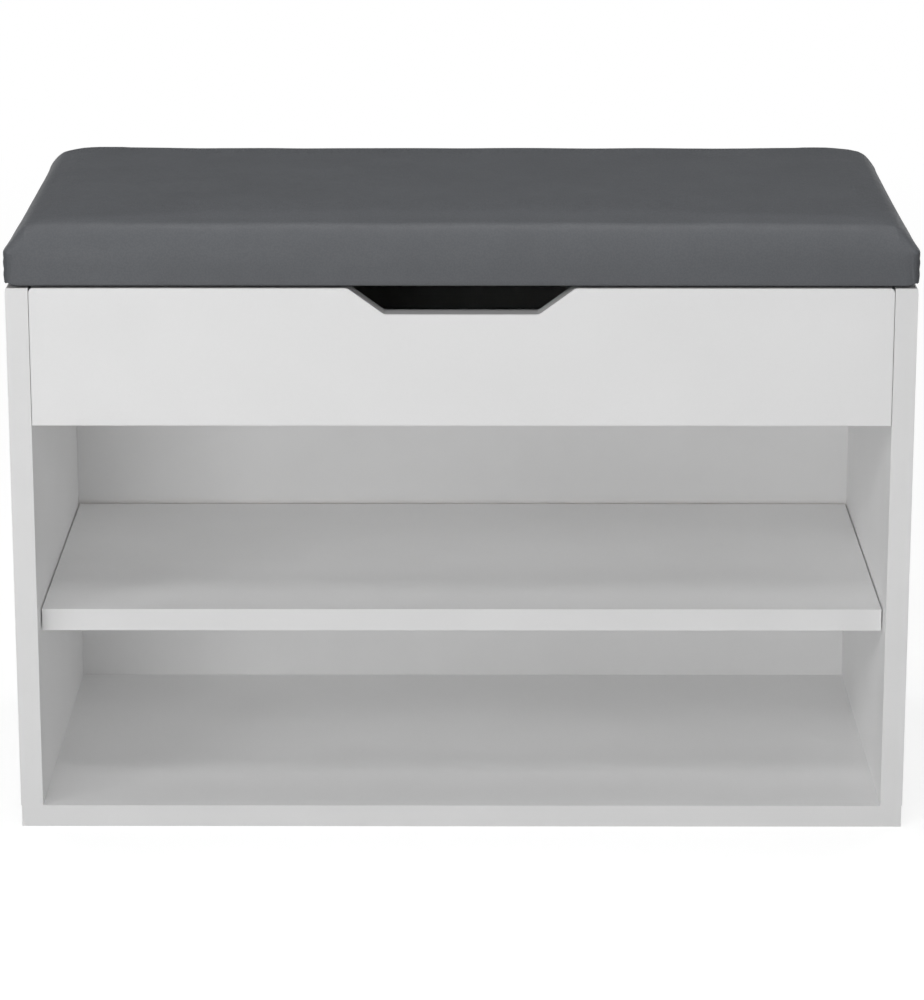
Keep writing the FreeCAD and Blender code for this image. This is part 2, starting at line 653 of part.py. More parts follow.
def hinge_leaf(name, middle, low, high, tab_low, tab_high, first_knuckle, holes):
    """A leaf plate with every second knuckle curled round the hinge line."""
    left = f"{middle} - dims.hinge_length / 2"
    right = f"{middle} + dims.hinge_length / 2"
    pieces = [box(f"{name}_plate", (left, *low), (right, *high))]
    for index in range(first_knuckle, KNUCKLES, 2):
        start, end = knuckle_span(middle, index)
        pieces.append(box(f"{name}_tab", (start, *tab_low), (end, *tab_high)))
        pieces.append(cylinder(f"{name}_knuckle", (start, HINGE_Y, HINGE_Z), RIGHT,
                               "dims.knuckle_radius", f"({end}) - ({start})"))
    bore = cylinder(f"{name}_bore", (f"{left} - 1", HINGE_Y, HINGE_Z), RIGHT,
                    "dims.pin_radius + dims.pin_play", "dims.hinge_length + 2")
    return cut(name, fuse(f"{name}_blank", pieces), (bore, *holes))


for side in SIDES:
    hand = "right" if side > 0 else "left"
    middle = f"{side} * dims.hinge_spread"
    case_holes = []
    lid_holes = []
    for offset in LEAF_SCREWS:
        screw_x = f"{middle} + {offset}"
        screw_z = f"{HINGE_Z} - {SCREW_LINE} * dims.leaf_reach - 2"
        screw_y = f"{HINGE_Y} - {SCREW_LINE} * dims.leaf_reach - 2"
        case_seat = (screw_x, CASE_LEAF_REAR, screw_z)
        lid_seat = (screw_x, screw_y, LID_LEAF_FOOT)
        case_leaf_screws.append(screw("case_leaf_screw", case_seat, FRONT, **LEAF_SCREW))
        lid_leaf_screws.append(screw("lid_leaf_screw", lid_seat, UP, **LEAF_SCREW))
        case_holes.append(cone("case_leaf_hole", case_seat, FRONT, *LEAF_SINK, "dims.leaf"))
        lid_holes.append(cone("lid_leaf_hole", lid_seat, UP, *LEAF_SINK, "dims.leaf"))
        bores["rear_rail"].append(pilot("leaf_pilot", case_seat, FRONT, LEAF_SCREW))
        lid_pilots.append(pilot("leaf_pilot", lid_seat, UP, LEAF_SCREW))
    case_leaf = hinge_leaf(f"{hand}_case_hinge_leaf", middle,
                           (HALF_DEPTH, CASE_LEAF_FOOT), (CASE_LEAF_REAR, CASE_LEAF_HEAD),
                           (HALF_DEPTH, f"{CASE_LEAF_HEAD} - 1"), (CASE_LEAF_REAR, HINGE_Z),
                           0, case_holes)
    keep(case_leaf, f"{hand}_case_hinge_leaf")
    lid_leaf = hinge_leaf(f"{hand}_lid_hinge_leaf", middle,
                          (LID_LEAF_FRONT, LID_LEAF_FOOT), (LID_LEAF_REAR, LID_UNDERSIDE),
                          (f"{LID_LEAF_REAR} - 1", LID_LEAF_FOOT), (HINGE_Y, LID_UNDERSIDE),
                          1, lid_holes)
    keep(lid_leaf, f"{hand}_lid_hinge_leaf")
    pin = cylinder(f"{hand}_hinge_pin", (f"{middle} - dims.hinge_length / 2", HINGE_Y, HINGE_Z), RIGHT,
                   "dims.pin_radius", "dims.hinge_length")
    keep(pin, f"{hand}_hinge_pin")
keep(group("case_hinge_screws", case_leaf_screws), "case_hinge_screws")
keep(group("lid_hinge_screws", lid_leaf_screws), "lid_hinge_screws")

# ---------------------------------------------------------------- case boards

base_half = f"({HALF_WIDTH} - dims.base_inset)"
base_core = box("base_core", (f"dims.edging - {base_half}", f"dims.edging - {HALF_DEPTH}", 0),
                (f"{base_half} - dims.edging", HALF_DEPTH, "dims.board"))
groove_front = f"({BACK_FACE} - dims.groove_play)"
groove_rear = f"({BACK_REAR} + dims.groove_play)"
groove_half = f"({INNER_X} + dims.groove_depth)"
back_groove = box("back_groove", (f"-{groove_half}", groove_front, "dims.board - dims.groove_depth"),
                  (groove_half, groove_rear, f"{FASCIA_FOOT} + dims.groove_depth"))
keep(cut("bottom_panel", base_core, (back_groove, *bores["bottom_panel"])), "bottom_panel")

base_front = box("base_front_band", (f"-{base_half}", f"-{HALF_DEPTH}", 0),
                 (base_half, f"dims.edging - {HALF_DEPTH}", "dims.board"))
base_left = box("base_left_band", (f"-{base_half}", f"dims.edging - {HALF_DEPTH}", 0),
                (f"dims.edging - {base_half}", HALF_DEPTH, "dims.board"))
keep(group("bottom_panel_edging", (base_front, base_left, mirrored("base_right_band", base_left))),
     "bottom_panel_edging")

for side in SIDES:
    hand = "right" if side > 0 else "left"
    low_x = INNER_X if side > 0 else f"-{HALF_WIDTH}"
    high_x = HALF_WIDTH if side > 0 else f"-{INNER_X}"
    core = box(f"{hand}_side_core", (low_x, f"dims.edging - {HALF_DEPTH}", "dims.board"),
               (high_x, HALF_DEPTH, f"{CASE_TOP} - dims.top_band"))
    name = side_name(side)
    keep(cut(name, core, (back_groove, *bores[name])), name)
    front_band = box(f"{hand}_front_band", (low_x, f"-{HALF_DEPTH}", "dims.board"),
                     (high_x, f"dims.edging - {HALF_DEPTH}", CASE_TOP))
    top_band = box(f"{hand}_top_band",
                   (low_x, f"dims.edging - {HALF_DEPTH}", f"{CASE_TOP} - dims.top_band"),
                   (high_x, HALF_DEPTH, CASE_TOP))
    outer_x = side * value(HALF_WIDTH)
    case_top = value(CASE_TOP)

    def outer_top(edge):
        ends = [vertex.Point for vertex in edge.Vertexes]
        return all(abs(end.x - outer_x) < 0.01 and abs(end.z - case_top) < 0.01 for end in ends)

    bands = fuse(f"{hand}_side_bands", (front_band, top_band))
    rounds = [(outer_top, value("dims.top_band - 0.1"))]
    keep(round_solid(f"{hand}_side_edging", bands, rounds), f"{hand}_side_edging")


def fascia_body(name, inset, corner_radius, shoulder_radius, foot_radius):
    """The fascia's outline with its hand cut-out, inset all round except at the two faces."""
    half = f"({INNER_X} - dims.fascia_gap - {inset})"
    top = f"({CASE_TOP} - {inset})"
    foot = f"({FASCIA_FOOT} + {inset})"
    grip_run = "(dims.grip_top - dims.grip_bottom) / 2"
    lean = f"{inset} * tan(atan(dims.grip_depth / ({grip_run})) / 2)"
    shoulder = f"(dims.grip_top / 2 + {lean})"
    corner = f"(dims.grip_bottom / 2 + {lean})"
    grip_foot = f"({CASE_TOP} - dims.grip_depth - {inset})"
    outline = [(f"-{half}", foot), (half, foot), (half, top), (shoulder, top), (corner, grip_foot),
               (f"-{corner}", grip_foot), (f"-{shoulder}", top), (f"-{half}", top)]
    body = prism(name, "XZ", outline, INNER_FRONT, "dims.board")
    middle_y = value(FASCIA_MIDDLE)
    for across, up, radius in ((half, top, corner_radius), (shoulder, top, shoulder_radius),
                               (corner, grip_foot, foot_radius)):
        points = [Vector(side * value(across), middle_y, value(up)) for side in SIDES]
        round_body(body, points, radius)
    return body


fascia_core = fascia_body("fascia_core", "dims.edging", "dims.fascia_corner - dims.edging",
                          "dims.grip_round - dims.edging", "dims.grip_round + dims.edging")
fascia_outer = fascia_body("fascia_outer", "0", "dims.fascia_corner",
                           "dims.grip_round", "dims.grip_round")
fascia_hollow = fascia_body("fascia_hollow", "dims.edging", "dims.fascia_corner - dims.edging",
                            "dims.grip_round - dims.edging", "dims.grip_round + dims.edging")
keep(cut("front_fascia", fascia_core, bores["front_fascia"]), "front_fascia")
keep(cut("fascia_edging", fascia_outer, (fascia_hollow, *bores["front_fascia"])), "fascia_edging")

floor_core = box("floor_core", (f"-{INNER_X}", INNER_FRONT, "dims.floor_level"),
                 (INNER_X, INNER_REAR, "dims.floor_level + dims.board"))
keep(cut("compartment_floor", floor_core, bores["compartment_floor"]), "compartment_floor")

rail_core_top = f"({CASE_TOP} - dims.edging)"
rail_core = box("rail_core", (f"-{INNER_X}", INNER_REAR, FASCIA_FOOT),
                (INNER_X, HALF_DEPTH, rail_core_top))
keep(cut("rear_rail", rail_core, (back_groove, *bores["rear_rail"])), "rear_rail")
rail_band = box("rear_rail_edging", (f"-{INNER_X}", INNER_REAR, rail_core_top),
                (INNER_X, HALF_DEPTH, CASE_TOP))
keep(rail_band, "rear_rail_edging")

back_half = f"({groove_half} - dims.groove_play)"
back_low = "(dims.board - dims.groove_depth + dims.groove_play)"
back_high = f"({FASCIA_FOOT} + dims.groove_depth - dims.groove_play)"
back_sheet = box("back_panel", (f"-{back_half}", BACK_FACE, back_low), (back_half, BACK_REAR, back_high))
keep(back_sheet, "back_panel")

shelf_half = f"({INNER_X} - dims.shelf_gap)"
shelf_top = "(dims.shelf_level + dims.board)"
shelf_rear = f"({BACK_FACE} - dims.shelf_back_gap)"
keep(box("shelf_board", (f"-{shelf_half}", f"{SHELF_FRONT} + dims.edging", "dims.shelf_level"),
         (shelf_half, shelf_rear, shelf_top)), "shelf_board")
keep(box("shelf_edging", (f"-{shelf_half}", SHELF_FRONT, "dims.shelf_level"),
         (shelf_half, f"{SHELF_FRONT} + dims.edging", shelf_top)), "shelf_edging")

# Rubber dots on the sides' top edges, which the lid lands on.
BUMPER_SPOTS = ("-130", "20")
bumpers = []
for side in SIDES:
    for y in BUMPER_SPOTS:
        at = (f"{side} * {SIDE_MIDDLE}", y, CASE_TOP)
        bumpers.append(cone("lid_bumper", at, UP, 4, 3.2, "dims.lid_gap - 0.3"))
keep(group("lid_bumpers", bumpers), "lid_bumpers")

# ---------------------------------------------------------------- lid and padded seat


def is_upright(edge):
    first, last = (vertex.Point for vertex in edge.Vertexes)
    return abs(first.z - last.z) > 1


def is_at(level):
    return lambda edge: abs(edge.CenterOfMass.z - level) < 0.01


def padded_form(name, inset, low, high):
    """A box with soft vertical corners and a well-rounded top edge."""
    blank = box(f"{name}_blank", (f"{inset} - {HALF_WIDTH}", f"{inset} - {HALF_DEPTH}", low),
                (f"{HALF_WIDTH} - ({inset})", f"{HALF_DEPTH} - ({inset})", high))
    corner = value(f"dims.seat_corner - ({inset})")
    shoulder = value(f"dims.seat_round - ({inset})")
    return round_solid(name, blank, [(is_upright, corner), (is_at(value(high)), shoulder)])


plate_inset = "(dims.skin + dims.skin_play)"
plate_half = f"({HALF_WIDTH} - {plate_inset})"
plate_depth = f"({HALF_DEPTH} - {plate_inset})"
plate_core = box("plate_core", (f"-{plate_half}", f"-{plate_depth}", PLATE_UNDERSIDE),
                 (plate_half, plate_depth, PLATE_TOP))
plate_rounds = [(is_upright, value("dims.seat_corner - dims.skin"))]
plate_rounded = round_solid("plate_rounded", plate_core, plate_rounds)
keep(cut("lid_board", plate_rounded, lid_pilots), "lid_board")

foam_top = "(dims.seat_height - dims.skin - dims.skin_play)"
keep(padded_form("seat_foam", plate_inset, PLATE_TOP, foam_top), "seat_foam")

cover_outer = padded_form("cover_outer", "0", MARGIN_UNDERSIDE, "dims.seat_height")
cover_inner = padded_form("cover_inner", "dims.skin", PLATE_UNDERSIDE, "dims.seat_height - dims.skin")
window_half = f"({HALF_WIDTH} - dims.skin_margin)"
window_depth = f"({HALF_DEPTH} - dims.skin_margin)"
cover_window = box("cover_window", (f"-{window_half}", f"-{window_depth}", f"{MARGIN_UNDERSIDE} - 1"),
                   (window_half, window_depth, f"{PLATE_UNDERSIDE} + 1"))
keep(cut("seat_cover", cover_outer, (cover_inner, cover_window)), "seat_cover")

backing_half = f"({HALF_WIDTH} - dims.backing_inset)"
backing_depth = f"({HALF_DEPTH} - dims.backing_inset)"
keep(box("lid_backing", (f"-{backing_half}", f"-{backing_depth}", LID_UNDERSIDE),
         (backing_half, backing_depth, MARGIN_UNDERSIDE)), "lid_backing")

# Staples hold the cover's margin and the backing to the board, all round the underside.
STAPLE_INSET = 19
STAPLE_HALF = 5
WIRE_HALF = 0.5
CROWN = 0.6
LEG_TIP = f"({PLATE_UNDERSIDE} + 5)"
FRONT_STAPLES = range(-260, 261, 65)
REAR_STAPLES = (-255, -225, -120, -60, 0, 60, 120, 225, 255)
SIDE_STAPLES = (-110, -60, -10, 95)


def staple(x, y, along_x):
    """A crown flat on the underside with a leg up into the board at each end."""
    reach_x = STAPLE_HALF if along_x else WIRE_HALF
    reach_y = WIRE_HALF if along_x else STAPLE_HALF
    crown = box("staple_crown", (f"{x} - {reach_x}", f"{y} - {reach_y}", f"{LID_UNDERSIDE} - {CROWN}"),
                (f"{x} + {reach_x}", f"{y} + {reach_y}", LID_UNDERSIDE))
    legs = []
    for end in SIDES:
        leg_x = f"{x} + {end * (reach_x - WIRE_HALF)}"
        leg_y = f"{y} + {end * (reach_y - WIRE_HALF)}"
        low = (f"{leg_x} - {WIRE_HALF}", f"{leg_y} - {WIRE_HALF}", f"{LID_UNDERSIDE} - {CROWN}")
        high = (f"{leg_x} + {WIRE_HALF}", f"{leg_y} + {WIRE_HALF}", LEG_TIP)
        legs.append(box("staple_leg", low, high))
    return fuse("staple", (crown, *legs))


front_y = f"{STAPLE_INSET} - {HALF_DEPTH}"
rear_y = f"{HALF_DEPTH} - {STAPLE_INSET}"
staples = [staple(x, front_y, True) for x in FRONT_STAPLES]
staples += [staple(x, rear_y, True) for x in REAR_STAPLES]
staples += [
    staple(f"{side} * ({HALF_WIDTH} - {STAPLE_INSET})", y, False)
    for side in SIDES
    for y in SIDE_STAPLES
]
keep(group("backing_staples", staples), "backing_staples")

# ---------------------------------------------------------------- checks and export

doc.recompute()
for item in doc.Objects:
    if any(word in state for state in item.State for word in ("Invalid", "Error")):
        raise RuntimeError(f"{item.Name} failed: {item.State}")
for piece in subparts:
    if piece.Shape.isNull() or not piece.Shape.isValid():
        raise RuntimeError(f"{piece.Label} has no valid shape")

os.makedirs("parts", exist_ok=True)
for piece in subparts:
    piece.Shape.exportStep(f"parts/{piece.Label}.step")
    print(f"{piece.Label:26s} {len(piece.Shape.Solids):3d} solids {piece.Shape.Volume / 1000:10.2f} cm3")
print(len(subparts), "sub-parts")
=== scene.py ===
import math

import bpy
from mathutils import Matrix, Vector, kdtree, noise


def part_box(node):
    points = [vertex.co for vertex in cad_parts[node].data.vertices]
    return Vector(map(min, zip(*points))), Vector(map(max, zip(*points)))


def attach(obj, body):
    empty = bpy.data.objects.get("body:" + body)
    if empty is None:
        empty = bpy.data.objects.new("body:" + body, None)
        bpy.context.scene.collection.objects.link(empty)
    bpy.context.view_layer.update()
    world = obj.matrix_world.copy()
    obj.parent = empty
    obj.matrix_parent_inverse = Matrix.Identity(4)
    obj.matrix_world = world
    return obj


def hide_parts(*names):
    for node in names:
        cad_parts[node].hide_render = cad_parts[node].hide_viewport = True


# Entryway bench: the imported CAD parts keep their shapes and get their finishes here. The seat
# cushion and the cloth under the lid are built as soft pieces in place of their plain CAD solids.
# Everything is in metres, in the CAD frame: front is -Y, up is +Z, the floor is z = 0.

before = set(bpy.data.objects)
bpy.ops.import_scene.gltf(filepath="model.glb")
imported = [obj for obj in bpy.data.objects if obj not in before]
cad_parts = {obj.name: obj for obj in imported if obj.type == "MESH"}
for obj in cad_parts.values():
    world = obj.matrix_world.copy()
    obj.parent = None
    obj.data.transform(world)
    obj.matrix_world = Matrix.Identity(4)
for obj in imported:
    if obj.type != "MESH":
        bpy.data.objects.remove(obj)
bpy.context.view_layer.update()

MM = 0.001

# ---------------------------------------------------------------- procedural materials


def shader_node(tree, kind, sockets=None, **settings):
    """A shader node whose sockets take either a value or another node's output."""
    made = tree.nodes.new("ShaderNode" + kind)
    for key, value in settings.items():
        setattr(made, key, value)
    for socket, value in (sockets or {}).items():
        if isinstance(value, bpy.types.NodeSocket):
            tree.links.new(value, made.inputs[socket])
        else:
            made.inputs[socket].default_value = value
    return made


class Finish:
    """One Principled material, with short calls for the nodes that feed it.

    Textures read object coordinates. Every CAD node and every piece here sits at the origin, so
    those are metres in the CAD frame at rest, and the texture stays on the piece as it moves.
    """

    def __init__(self, name, colour, roughness, metallic=0.0, specular=0.5):
        self.material = bpy.data.materials.new(name)
        self.material.use_nodes = True
        self.tree = self.material.node_tree
        self.shader = self.tree.nodes["Principled BSDF"]
        self.shader.inputs["Base Color"].default_value = (*colour, 1.0)
        self.shader.inputs["Roughness"].default_value = roughness
        self.shader.inputs["Metallic"].default_value = metallic
        self.shader.inputs["Specular IOR Level"].default_value = specular
        coordinates = self.node("TexCoord")
        self.place = coordinates.outputs["Object"]
        self.facing = coordinates.outputs["Normal"]
        self.colour = colour
        self.height = None

    def node(self, kind, sockets=None, **settings):
        return shader_node(self.tree, kind, sockets, **settings)

    def stretched(self, stretch):
        """Object coordinates multiplied along each axis, so that a pattern runs in one direction."""
        return self.node("VectorMath", {0: self.place, 1: stretch}, operation="MULTIPLY").outputs[0]

    def noise(self, size, detail=2.0, stretch=(1, 1, 1), distortion=0.0):
        sockets = {
            "Vector": self.stretched(stretch),
            "Scale": 1.0 / size,
            "Detail": detail,
            "Distortion": distortion,
        }
        return self.node("TexNoise", sockets).outputs["Fac"]

    def cells(self, size, stretch=(1, 1, 1)):
        """Random cells of about this size: outputs Distance, from 0 at their middles, and Color."""
        sockets = {"Vector": self.stretched(stretch), "Scale": 1.0 / size}
        return self.node("TexVoronoi", sockets).outputs

    def axis(self, vector, name):
        return self.node("SeparateXYZ", {0: vector}).outputs[name]

    def math(self, operation, a, b=0.0):
        return self.node("Math", {0: a, 1: b}, operation=operation).outputs[0]

    def spread(self, factor, low, high, start=0.0, end=1.0):
        """factor mapped smoothly from start..end to low..high."""
        sockets = {
            "Value": factor,
            "From Min": start,
            "From Max": end,
            "To Min": low,
            "To Max": high,
        }
        return self.node("MapRange", sockets, interpolation_type="SMOOTHSTEP").outputs[0]

    def ramp(self, factor, stops):
        """Colours along factor, as (place, colour) pairs."""
        made = self.node("ValToRGB", {0: factor})
        elements = made.color_ramp.elements
        while len(elements) < len(stops):
            elements.new(0.5)
        for element, (place, colour) in zip(elements, stops):
            element.position = place
            element.color = (*colour, 1.0)
        return made.outputs["Color"]

    def blend(self, factor, a, b):
        """Number a at factor 0 and b at 1."""
        rest = self.math("SUBTRACT", 1.0, factor)
        return self.math("ADD", self.math("MULTIPLY", a, rest), self.math("MULTIPLY", b, factor))

    def mix(self, factor, a, b):
        """Colour a at factor 0 and b at 1; each is a colour or an output."""
        made = self.node("Mix", data_type="RGBA")
        for name, value in (("Factor", factor), ("A", a), ("B", b)):
            target = next(s for s in made.inputs if s.name == name and s.enabled)
            if isinstance(value, bpy.types.NodeSocket):
                self.tree.links.new(value, target)
            elif target.type == "RGBA":
                target.default_value = (*value, 1.0)
            else:
                target.default_value = value
        return next(s for s in made.outputs if s.enabled)

    def shade(self, factor, amount):
        """The finish's own colour, varied by amount either side with factor."""
        darker = tuple(c * (1 - amount) for c in self.colour)
        lighter = tuple(min(1.0, c * (1 + amount)) for c in self.colour)
        return self.ramp(factor, [(0.25, darker), (0.75, lighter)])

    def bump(self, height, depth):
        """Adds relief: height 0..1 stands for depth in metres, on top of what is already there."""
        sockets = {"Height": height, "Distance": depth, "Strength": 1.0}
        if self.height is not None:
            sockets["Normal"] = self.height
        self.height = self.node("Bump", sockets).outputs["Normal"]

    def finish(self, colour, roughness=None):
        """Links what the nodes made to the shader and returns the material."""
        links = {"Base Color": colour, "Roughness": roughness, "Normal": self.height}
        for socket, output in links.items():
            if output is not None:
                self.tree.links.new(output, self.shader.inputs[socket])
        return self.material


def facing_mask(finish, direction):
    """1 where the surface faces that way, in object space, and 0 elsewhere."""
    along = finish.node("VectorMath", {0: finish.facing, 1: direction}, operation="DOT_PRODUCT")
    return finish.math("GREATER_THAN", along.outputs["Value"], 0.8)


CHIP_COLOURS = [
    (0.05, (0.32, 0.20, 0.11)),
    (0.35, (0.52, 0.36, 0.21)),
    (0.70, (0.64, 0.47, 0.29)),
    (0.95, (0.74, 0.58, 0.39)),
]
CHIP_GAP = (0.26, 0.17, 0.095)


def chipboard(finish):
    """Colour and height of a sawn particleboard edge: flat chips with dark gaps between them."""
    chips = finish.cells(2.4 * MM, stretch=(1, 1, 1.4))
    colour = finish.ramp(finish.axis(chips["Color"], "X"), CHIP_COLOURS)
    gap = finish.spread(chips["Distance"], 0.0, 0.8, 0.55, 0.85)
    height = finish.math("SUBTRACT", 1.0, gap)
    return finish.mix(gap, colour, CHIP_GAP), height


def laminate(name, raw_side=None):
    """White melamine paper on particleboard, with the bare core on the side that has no edging."""
    made = Finish(name, (0.90, 0.90, 0.90), 0.46)
    clouds = made.noise(60 * MM, detail=1)
    pearl = made.noise(0.9 * MM, detail=2)
    greyer = made.spread(pearl, 0.0, 0.06, 0.45, 0.75)
    colour = made.mix(greyer, made.shade(clouds, 0.012), (0.72, 0.72, 0.72))
    roughness = made.spread(pearl, 0.40, 0.52, 0.3, 0.7)
    if raw_side is None:
        made.bump(pearl, 0.035 * MM)
        return made.finish(colour, roughness)
    raw = facing_mask(made, raw_side)
    wood, chips = chipboard(made)
    paper_relief = made.math("MULTIPLY", pearl, 0.07)
    made.bump(made.blend(raw, paper_relief, chips), 0.5 * MM)
    return made.finish(made.mix(raw, colour, wood), made.blend(raw, roughness, 0.9))


def edging(name):
    """ABS edge band: the laminate's white, a little smoother, with faint lines from the scraper."""
    made = Finish(name, (0.85, 0.85, 0.85), 0.38)
    lines = made.noise(0.6 * MM, detail=2, stretch=(0.05, 1, 0.05))
    made.bump(lines, 0.02 * MM)
    return made.finish(made.shade(made.noise(45 * MM), 0.015), made.spread(lines, 0.33, 0.45, 0.3, 0.7))


FIBRE_COLOURS = [
    (0.25, (0.24, 0.14, 0.08)),
    (0.55, (0.38, 0.24, 0.14)),
    (0.80, (0.50, 0.34, 0.21)),
]


def lacquered_hardboard(name):
    """Thin fibreboard back: white lacquer inside, bare brown fibres behind."""
    made = Finish(name, (0.82, 0.82, 0.82), 0.52)
    bare = facing_mask(made, (0, 1, 0))
    fibres = made.noise(1.4 * MM, detail=3, distortion=1.0)
    blotches = made.noise(35 * MM, detail=2)
    stain = made.spread(blotches, 0.0, 0.35, 0.35, 0.7)
    brown = made.mix(stain, made.ramp(fibres, FIBRE_COLOURS), (0.22, 0.125, 0.065))
    made.bump(made.math("MULTIPLY", fibres, made.blend(bare, 0.15, 1.0)), 0.25 * MM)
    return made.finish(made.mix(bare, made.shade(blotches, 0.012), brown), made.blend(bare, 0.52, 0.85))


def moulded_white(name):
    """Injection-moulded caps: smooth, faintly warm white with a fine spark-eroded texture."""
    made = Finish(name, (0.79, 0.79, 0.775), 0.36)
    grain = made.noise(0.35 * MM, detail=2)
    made.bump(grain, 0.015 * MM)
    return made.finish(made.shade(made.noise(6 * MM), 0.02), made.spread(grain, 0.30, 0.42, 0.3, 0.7))


def zinc_plate(name):
    """Zinc-plated sheet steel: grey crystals, rolling lines and small dull spots."""
    made = Finish(name, (0.60, 0.61, 0.63), 0.34, metallic=1.0)
    crystals = made.axis(made.cells(1.6 * MM)["Color"], "X")
    lines = made.noise(0.35 * MM, detail=2, stretch=(0.05, 0.05, 1))
    spots = made.noise(4 * MM, detail=4)
    dull = made.spread(spots, 0.0, 0.4, 0.5, 0.75)
    colour = made.mix(dull, made.shade(crystals, 0.05), (0.52, 0.53, 0.54))
    uneven = made.math("ADD", spots, made.math("MULTIPLY", crystals, 0.3))
    roughness = made.spread(uneven, 0.24, 0.46, 0.3, 1.0)
    made.bump(made.math("ADD", lines, made.math("MULTIPLY", spots, 0.4)), 0.01 * MM)
    return made.finish(colour, roughness)


def die_cast(name):
    """Zinc die casting: dull grey with a pitted skin."""
    made = Finish(name, (0.42, 0.43, 0.44), 0.5, metallic=0.9)
    skin = made.noise(0.8 * MM, detail=4)
    made.bump(skin, 0.08 * MM)
    return made.finish(made.shade(skin, 0.15), made.spread(skin, 0.42, 0.6, 0.3, 0.7))


def turned_beech(name):
    """Beech: straight grain along X with short darker flecks."""
    made = Finish(name, (0.62, 0.44, 0.28), 0.6)
    grain = made.noise(1.2 * MM, detail=4, stretch=(0.08, 1, 1))
    flecks = made.noise(0.8 * MM, detail=1, stretch=(0.25, 1, 1))
    fleck = made.spread(flecks, 0.0, 0.5, 0.62, 0.72)
    colour = made.mix(fleck, made.shade(grain, 0.12), (0.40, 0.25, 0.14))
    made.bump(grain, 0.06 * MM)
    return made.finish(colour)


def birch_plywood(name, low, high, plies=7):
    """Plywood: long grain on the faces and alternating plies on the edges."""
    made = Finish(name, (0.66, 0.50, 0.33), 0.62)
    grain = made.noise(5 * MM, detail=5, stretch=(0.06, 1, 1), distortion=0.6)
    pores = made.noise(0.6 * MM, detail=2, stretch=(0.05, 1, 1))
    height = made.axis(made.place, "Z")
    ply = made.math("MULTIPLY", made.math("SUBTRACT", height, low), math.pi * plies / (high - low))
    across = made.math("GREATER_THAN", made.math("SINE", ply), 0.0)
    pore = made.spread(pores, 0.0, 0.35, 0.5, 0.7)
    face = made.mix(pore, made.shade(grain, 0.12), (0.45, 0.30, 0.17))
    edge = made.mix(across, face, (0.38, 0.24, 0.13))
    is_face = made.math("GREATER_THAN", made.math("ABSOLUTE", made.axis(made.facing, "Z")), 0.8)
    made.bump(made.math("ADD", grain, pores), 0.08 * MM)
    return made.finish(made.mix(is_face, edge, face))


def rubber(name):
    """Soft bumper: matt black with a fine bloom."""
    made = Finish(name, (0.022, 0.022, 0.023), 0.75, specular=0.35)
    bloom = made.noise(1.5 * MM, detail=4)
    made.bump(bloom, 0.04 * MM)
    return made.finish(made.shade(bloom, 0.35), made.spread(bloom, 0.65, 0.85, 0.3, 0.7))


def natural_nylon(name):
    """Sliders: milky nylon with flow marks."""
    made = Finish(name, (0.74, 0.73, 0.69), 0.42)
    made.shader.inputs["Subsurface Weight"].default_value = 0.1
    made.shader.inputs["Subsurface Scale"].default_value = 1 * MM
    flow = made.noise(2 * MM, detail=3, distortion=1.0)
    made.bump(flow, 0.03 * MM)
    return made.finish(made.shade(flow, 0.04), made.spread(flow, 0.35, 0.5, 0.3, 0.7))


def leatherette(name):
    """Dark grey PVC leather: small rounded grain with fine creases between, painted a little darker
    there as shade, a dull satin.
    """
    made = Finish(name, (0.116, 0.122, 0.132), 0.55, specular=0.45)
    pebbles = made.spread(made.cells(1.15 * MM)["Distance"], 1.0, 0.0, 0.25, 0.75)
    broad = made.noise(45 * MM, detail=1)
    pull = made.noise(9 * MM, detail=2, distortion=0.5)
    # Painted shade: the colour darkens toward the creases between the pebbles, where shade falls.
    crease_shade = made.spread(pebbles, 0.25, 0.0)
    colour = made.mix(crease_shade, made.shade(broad, 0.04), (0.084, 0.088, 0.096))
    worn = made.spread(pull, -0.03, 0.03, 0.3, 0.7)
    roughness = made.math("ADD", made.spread(pebbles, 0.6, 0.52), worn)
    made.bump(made.math("ADD", made.math("MULTIPLY", pebbles, 0.4), pull), 0.08 * MM)
    return made.finish(colour, roughness)


def spunbond(name):
    """Black non-woven cloth: pressed points in a slanted grid over loose fibres."""
    made = Finish(name, (0.026, 0.026, 0.027), 0.8, specular=0.35)
    fibres = made.noise(0.25 * MM, detail=4, distortion=2.0)
    slanted = {"Vector": made.place, "Rotation": (0, 0, math.radians(45))}
    turned = made.node("Mapping", slanted).outputs[0]
    grid = {"Vector": turned, "Scale": 1 / (1.1 * MM), "Randomness": 0.0}
    points = made.node("TexVoronoi", grid).outputs["Distance"]
    pressed = made.spread(points, 1.0, 0.0, 0.18, 0.3)
    colour = made.mix(pressed, made.shade(fibres, 0.5), (0.035, 0.035, 0.037))
    made.bump(made.math("SUBTRACT", fibres, pressed), 0.12 * MM)
    return made.finish(colour, made.spread(pressed, 0.9, 0.6))


board_low, board_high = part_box("lid_board")

MATERIALS = {
    "white_laminate": laminate("melamine_board"),
    "white_edging": edging("abs_edging"),
    "back_board": lacquered_hardboard("lacquered_hardboard"),
    "white_plastic": moulded_white("moulded_white_plastic"),
    "zinc_steel": zinc_plate("zinc_plated_steel"),
    "zinc_casting": die_cast("zinc_die_casting"),
    "dowel_beech": turned_beech("beech"),
    "lid_plywood": birch_plywood("birch_plywood", board_low.z, board_high.z),
    "black_rubber": rubber("black_rubber"),
    "slider_nylon": natural_nylon("natural_nylon"),
    "seat_leatherette": leatherette("pvc_leatherette"),
    "underside_cloth": spunbond("spunbond_cloth"),
}

# The sides that carry no edging, by node.
RAW_SIDES = {
    "bottom_panel": (0, 1, 0),
    "left_side_panel": (0, 1, 0),
    "right_side_panel": (0, 1, 0),
    "shelf_board": (0, 1, 0),
    "compartment_floor": (0, 1, 0),
    "rear_rail": (0, 0, -1),
}


